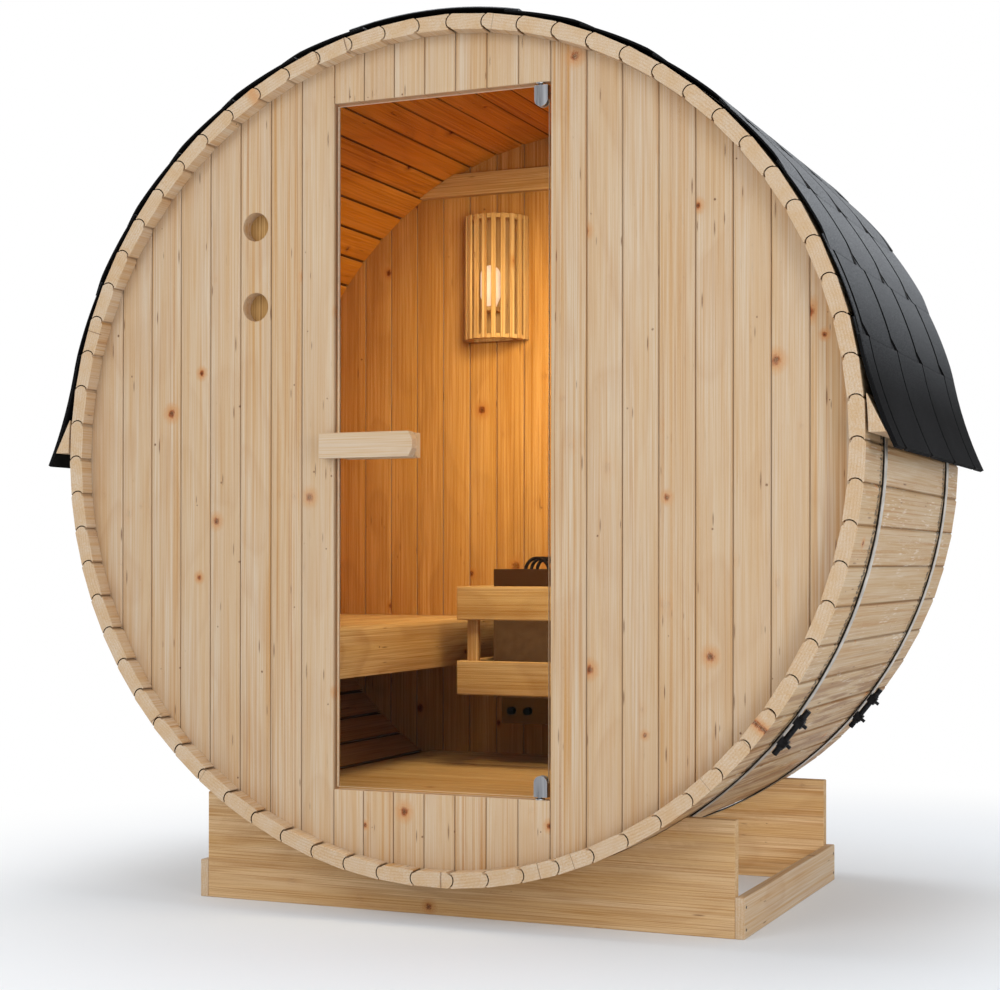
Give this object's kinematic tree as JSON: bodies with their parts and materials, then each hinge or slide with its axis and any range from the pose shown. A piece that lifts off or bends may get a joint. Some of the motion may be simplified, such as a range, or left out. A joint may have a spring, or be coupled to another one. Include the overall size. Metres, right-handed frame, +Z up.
{
  "type": "barrel sauna",
  "caption": "Wooden barrel sauna on a cradle, with a hinged glass door, a shingle roof, a bench, a guarded heater and a slatted wall lamp.",
  "frame": {"origin": "on the ground, under the middle of the barrel", "axes": "+Z up, the barrel's axis along Y, the door faces -Y, +X to the right of someone facing the door"},
  "size_m": [2.0284, 1.08, 2.0006],
  "materials": {
    "spruce": "planed, untreated spruce",
    "warm_spruce": "planed spruce in warm light",
    "shingle": "granulated bitumen",
    "band_steel": "cold rolled strip",
    "black_steel": "black",
    "chrome": "satin chrome",
    "door_glass": "clear toughened glass",
    "heater_enamel": "brown enamel",
    "control_plastic": "fine texture",
    "bulb_glass": "opal glass, lit"
  },
  "bodies": {
    "cabin": {"staves_top": "spruce", "staves_top_left": "spruce", "staves_upper_left": "spruce", "staves_lower_left": "spruce", "staves_bottom_left": "spruce", "staves_bottom": "spruce", "staves_bottom_right": "spruce", "staves_lower_right": "spruce", "staves_upper_right": "spruce", "staves_top_right": "spruce", "front_wall_left": "spruce", "front_wall_vent_board": "spruce", "front_wall_right": "spruce", "front_lintel": "spruce", "front_sill": "spruce", "cradle_front": "spruce", "cradle_rear": "spruce", "cradle_side_rails": "spruce", "eave_wedges": "spruce", "vent_shutter": "warm_spruce", "back_wall": "warm_spruce", "back_wall_batten": "warm_spruce", "floor_boards": "warm_spruce", "floor_joists": "warm_spruce", "bench_seat": "warm_spruce", "bench_apron": "warm_spruce", "bench_bearers": "warm_spruce", "guard_rails": "warm_spruce", "guard_posts": "warm_spruce", "lamp_slats": "warm_spruce", "lamp_rings": "warm_spruce", "lamp_plate": "warm_spruce", "roof_left": "shingle", "roof_right": "shingle", "roof_ridge": "shingle", "band_front": "band_steel", "band_rear": "band_steel", "band_tensioners": "black_steel", "hinge_socket_top": "chrome", "hinge_socket_bottom": "chrome", "heater_housing": "heater_enamel", "heater_elements": "black_steel", "heater_controls": "control_plastic", "lamp_bulb": "bulb_glass"},
    "door": {"door_glass": "door_glass", "door_handle_outer": "spruce", "door_handle_inner": "spruce", "door_hinge_top": "chrome", "door_hinge_bottom": "chrome"}
  },
  "joints": [
    {"name": "door_swing", "type": "hinge", "parent": "cabin", "child": "door", "pos_m": [0.235, -0.492, 1.055], "axis": [0, 0, 1], "range_deg": [0, 110]}
  ]
}
